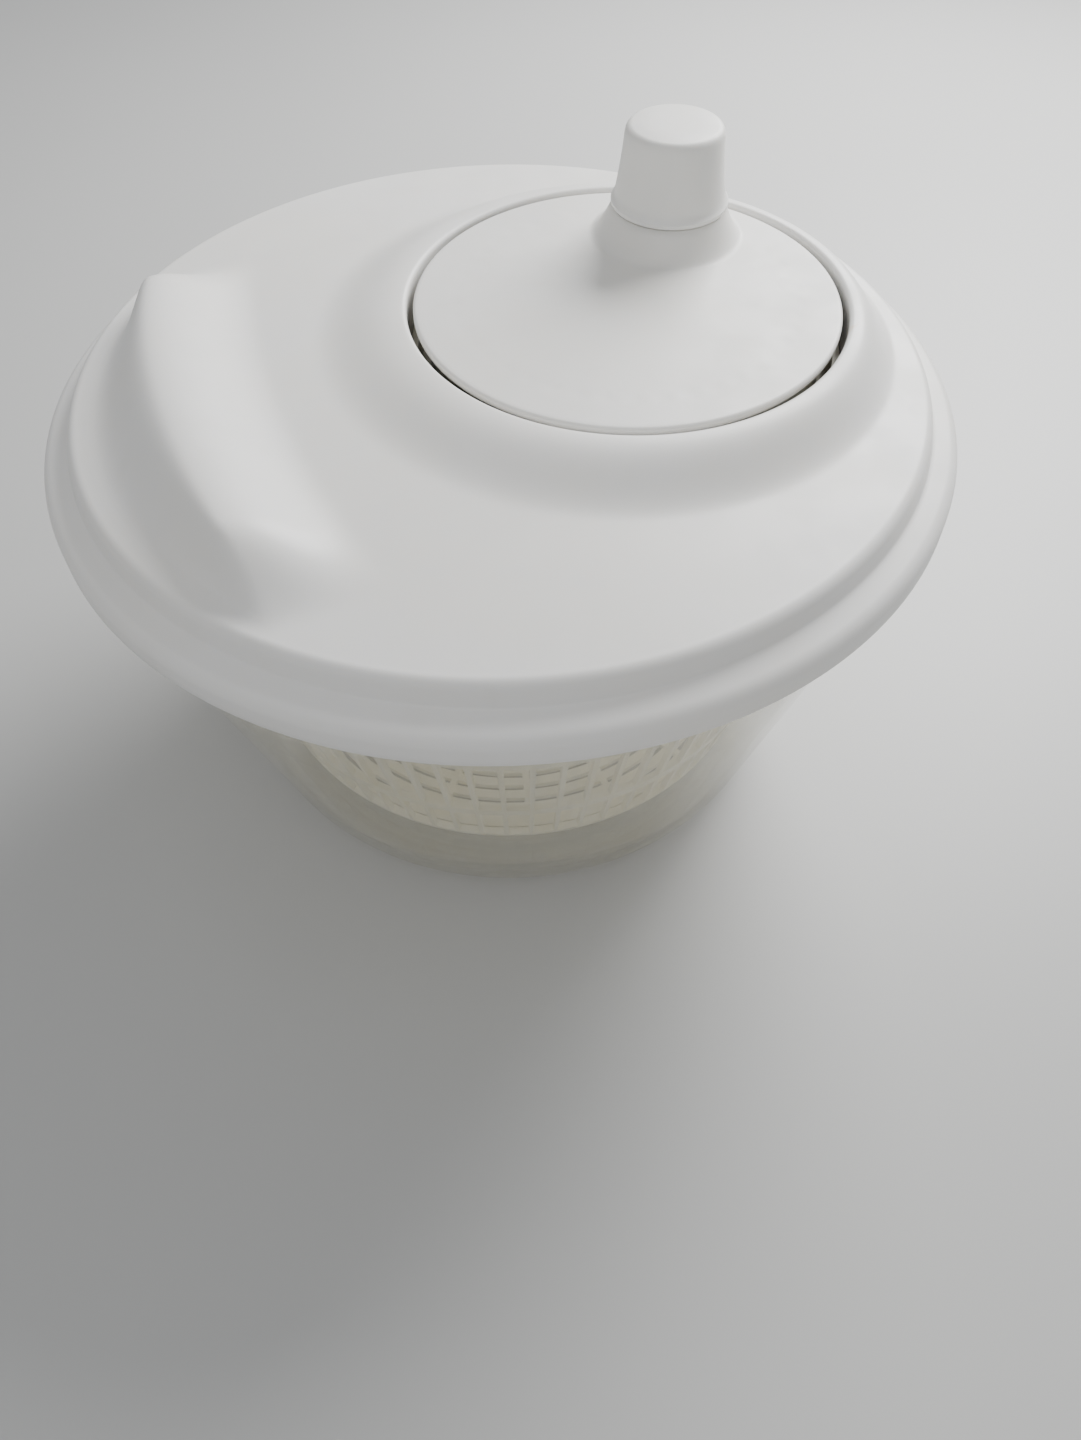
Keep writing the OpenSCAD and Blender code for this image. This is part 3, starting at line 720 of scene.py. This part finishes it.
class SPINNER_OT_basket(bpy.types.Operator):
    """Build the basket: upright bars between rings, a slotted floor and the hub"""

    bl_idname = "spinner.basket"
    bl_label = "Basket"

    def execute(self, context):
        settings = context.scene.spinner
        sizes = settings.basket
        low, rim = basket_low.z, basket_high.z
        bm = bmesh.new()
        self.add_wall(bm, sizes, low, rim)
        self.add_floor(bm, sizes, low)
        bmesh.ops.remove_doubles(bm, verts=bm.verts, dist=2e-6)
        bmesh.ops.recalc_face_normals(bm, faces=bm.faces)
        self.add_hub(bm, low)
        finished(bm, "basket_moulding", cream_moulding(settings), "basket", ["basket"], 35)
        return {"FINISHED"}

    slot_rows = ((24.4, 41.8), (45.8, 78), (82, 112))

    def add_wall(self, bm, sizes, low, rim):
        """One bar and one gap, stepped round the axis"""
        pitch = TURN / sizes.bars
        top_z = rim - 6 * MM

        def radius(z):
            return sizes.foot + (sizes.top - sizes.foot) * (z - low) / (top_z - low)

        def half_bar(z):
            width = sizes.bar_low + (sizes.bar_high - sizes.bar_low) * (z - low) / (top_z - low)
            return width / 2 / radius(z)

        levels = [low + sizes.corner] + [z * MM for row in self.slot_rows for z in row] + [top_z]
        open_bands = {1, 3, 5}
        lean = math.atan2(sizes.top - sizes.foot, top_z - low)
        corner = (radius(low + sizes.corner) - sizes.corner / math.cos(lean), low + sizes.corner)
        wall = bmesh.new()
        gap_steps = 4
        columns = []
        for step in range(gap_steps + 2):
            column = []
            for z in levels:
                half = half_bar(z)
                turn = -half if step == 0 else half + (pitch - 2 * half) * (step - 1) / gap_steps
                column.append(wall.verts.new((radius(z) * math.cos(turn), radius(z) * math.sin(turn), z)))
            columns.append(column)
        for step, (left, right) in enumerate(zip(columns, columns[1:])):
            for band in range(len(levels) - 1):
                if step == 0 or band not in open_bands:
                    wall.faces.new((left[band], right[band], right[band + 1], left[band + 1]))
        self.step_round(wall, sizes.bars)
        bmesh.ops.recalc_face_normals(wall, faces=wall.faces)
        bottom = self.open_edges(wall, levels[0])
        lower = arc(corner, sizes.corner, -math.degrees(lean), -90, 4)[1:]
        self.draw_edge(wall, bottom, lower, radius(levels[0]), levels[0])
        top = self.open_edges(wall, top_z)
        flange = basket_high.x
        upper = [(flange - 1 * MM, top_z + 0.5 * MM), (flange - 0.2 * MM, top_z + 1.0 * MM)]
        upper += [(flange, top_z + 1.6 * MM), (flange, rim - 0.8 * MM), (flange - 0.8 * MM, rim)]
        self.draw_edge(wall, top, upper, radius(top_z), top_z)
        bmesh.ops.recalc_face_normals(wall, faces=wall.faces)
        bmesh.ops.solidify(wall, geom=list(wall.faces), thickness=sizes.wall)
        self.pour(wall, bm)

    @staticmethod
    def open_edges(bm, z):
        """The open edges that lie at height z"""
        return [e for e in bm.edges if e.is_boundary and all(abs(v.co.z - z) < 1e-6 for v in e.verts)]

    def add_floor(self, bm, sizes, low):
        """A spoke and the rings up to the next spoke, stepped round the axis"""
        plate = bmesh.new()
        pitch = TURN / sizes.spokes
        half = 1.1 * MM
        edge = sizes.foot - sizes.corner
        rings = [11.2 * MM, 16 * MM]
        while rings[-1] + sizes.ring_pitch < edge:
            rings += [rings[-1] + sizes.ring_slot, rings[-1] + sizes.ring_pitch]
        rings[-1] = edge
        parts = 8
        columns = []
        for step in range(parts + 2):
            column = []
            for r in rings:
                spoke = half / r
                turn = -spoke if step == 0 else spoke + (pitch - 2 * spoke) * (step - 1) / parts
                column.append(plate.verts.new((r * math.cos(turn), r * math.sin(turn), low)))
            columns.append(column)
        for step, (left, right) in enumerate(zip(columns, columns[1:])):
            for band in range(len(rings) - 1):
                if step == 0 or band % 2 == 0:
                    plate.faces.new((left[band], right[band], right[band + 1], left[band + 1]))
        self.step_round(plate, sizes.spokes)
        bmesh.ops.recalc_face_normals(plate, faces=plate.faces)
        if plate.faces[0].normal.z > 0:
            bmesh.ops.reverse_faces(plate, faces=plate.faces)
        bmesh.ops.solidify(plate, geom=list(plate.faces), thickness=sizes.wall)
        self.pour(plate, bm)

    def add_hub(self, bm, low):
        hub = bmesh.new()
        bearing_r = (bearing_high.x - bearing_low.x) / 2 - 3 * MM
        seat, inner, top = bearing_low.z + 1.9 * MM, bearing_high.z + 0.4 * MM, bearing_high.z + 2.8 * MM
        bore = bearing_r + 0.05 * MM
        outline = [(bore, seat), (bore + 4 * MM, seat), (bore + 4.6 * MM, low), (bore + 6.5 * MM, low)]
        outline += [(bore + 6.5 * MM, low + 1.8 * MM), (bore + 5.2 * MM, low + 2.4 * MM)]
        outline += [(bore + 3.4 * MM, top - 3 * MM)]
        outline += arc((bore + 0.6 * MM, top - 2.6 * MM), 2.6 * MM, 15, 90, 5)
        outline += [(0, top), (0, inner), (bore, inner)]
        spin_outline(hub, outline, 96)
        tidy(hub)
        self.pour(hub, bm)

    @staticmethod
    def step_round(bm, count):
        """Repeats what there is count times round the axis, and joins it up"""
        bmesh.ops.spin(
            bm,
            geom=list(bm.verts) + list(bm.edges) + list(bm.faces),
            cent=(0, 0, 0),
            axis=UP,
            angle=TURN * (count - 1) / count,
            steps=count - 1,
            use_duplicate=True,
        )
        bmesh.ops.remove_doubles(bm, verts=bm.verts, dist=2e-6)

    @staticmethod
    def draw_edge(bm, edges, outline, radius, height):
        """Draws a round edge on through (radius, height) points"""
        for new_radius, new_height in outline:
            grown = bmesh.ops.extrude_edge_only(bm, edges=edges)["geom"]
            verts = [g for g in grown if isinstance(g, bmesh.types.BMVert)]
            edges = [g for g in grown if isinstance(g, bmesh.types.BMEdge)]
            scale = new_radius / radius
            bmesh.ops.scale(bm, vec=(scale, scale, 1), verts=verts)
            bmesh.ops.translate(bm, vec=UP * (new_height - height), verts=verts)
            radius, height = new_radius, new_height

    @staticmethod
    def pour(source, target):
        mesh = bpy.data.meshes.new("part_of_basket")
        source.to_mesh(mesh)
        source.free()
        target.from_mesh(mesh)
        bpy.data.meshes.remove(mesh)


class SPINNER_OT_inner_parts(bpy.types.Operator):
    """Give the pan, driver, bushes, shaft, screws and washers their finishes"""

    bl_idname = "spinner.inner_parts"
    bl_label = "Inner parts"

    def execute(self, context):
        settings = context.scene.spinner
        natural, slippery, steel = natural_moulding(settings), acetal(settings), turned_steel(settings)
        finishes = {
            "gear_pan": natural,
            "basket_driver": natural,
            "basket_bearing": slippery,
            "wheel_bush": slippery,
            "shaft_bush": slippery,
            "knob_bush": slippery,
            "pinion": slippery,
        }
        for name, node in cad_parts.items():
            if node.hide_render:
                continue
            node.data.materials.clear()
            node.data.materials.append(finishes.get(name, steel))
        return {"FINISHED"}


class SPINNER_OT_stage(bpy.types.Operator):
    """Set the plain floor, the soft light and the camera"""

    bl_idname = "spinner.stage"
    bl_label = "Stage"

    def execute(self, context):
        settings = context.scene.spinner
        self.add_floor(settings)
        self.add_light("window", (0.6, 0.4, 0.6), (0, 0, 0.1), 0.6, 17)
        self.add_light("room", (-0.5, -0.7, 1.0), (0, 0, 0.1), 1.2, 4)
        world = bpy.data.worlds.new("soft_room")
        world.use_nodes = True
        background = world.node_tree.nodes["Background"]
        background.inputs["Color"].default_value = (0.82, 0.84, 0.87, 1)
        background.inputs["Strength"].default_value = 0.52
        context.scene.world = world
        self.add_camera(context, settings.stage)
        return {"FINISHED"}

    def add_floor(self, settings):
        bm = bmesh.new()
        bmesh.ops.create_grid(bm, x_segments=8, y_segments=8, size=3.0)
        mesh = bpy.data.meshes.new("floor")
        bm.to_mesh(mesh)
        bm.free()
        mesh.materials.append(plain_floor(settings))
        floor = bpy.data.objects.new("floor", mesh)
        bpy.context.scene.collection.objects.link(floor)

    def add_light(self, name, place, target, size, power):
        lamp = bpy.data.lights.new(name, "AREA")
        lamp.shape = "DISK"
        lamp.size = size
        lamp.energy = power
        light = bpy.data.objects.new(name, lamp)
        light.location = place
        light.rotation_euler = (Vector(target) - Vector(place)).to_track_quat("-Z", "Y").to_euler()
        bpy.context.scene.collection.objects.link(light)

    def add_camera(self, context, sizes):
        camera = bpy.data.cameras.new("camera")
        camera.lens = sizes.lens
        camera.sensor_width = 36
        camera.clip_start = 0.01
        view = bpy.data.objects.new("camera", camera)
        turn = Matrix.Rotation(-sizes.heading, 4, "Z") @ Matrix.Rotation(math.pi / 2 - sizes.tilt, 4, "X")
        view.matrix_world = Matrix.Translation(sizes.eye) @ turn @ Matrix.Rotation(sizes.roll, 4, "Z")
        context.scene.collection.objects.link(view)
        context.scene.camera = view


class SPINNER_PT_pieces(bpy.types.Panel):
    """Lists the pieces of the salad spinner"""

    bl_idname = "SPINNER_PT_pieces"
    bl_label = "Salad Spinner"
    bl_space_type = "VIEW_3D"
    bl_region_type = "UI"
    bl_category = "Spinner"

    def draw(self, context):
        for step in STEPS:
            self.layout.operator(step.bl_idname)


STEPS = (
    SPINNER_OT_bowl,
    SPINNER_OT_basket,
    SPINNER_OT_lid,
    SPINNER_OT_crank_wheel,
    SPINNER_OT_knob,
    SPINNER_OT_inner_parts,
    SPINNER_OT_stage,
)
GROUPS = (LidSizes, WheelSizes, KnobSizes, BowlSizes, BasketSizes, Finishes, StageSizes, SpinnerSettings)
CLASSES = (*GROUPS, *STEPS, SPINNER_PT_pieces)


def register():
    for cls in CLASSES:
        bpy.utils.register_class(cls)
    bpy.types.Scene.spinner = PointerProperty(type=SpinnerSettings)


def unregister():
    del bpy.types.Scene.spinner
    for cls in reversed(CLASSES):
        bpy.utils.unregister_class(cls)


def main():
    register()
    for step in STEPS:
        group, name = step.bl_idname.split(".")
        getattr(getattr(bpy.ops, group), name)()


if __name__ == "__main__":
    main()
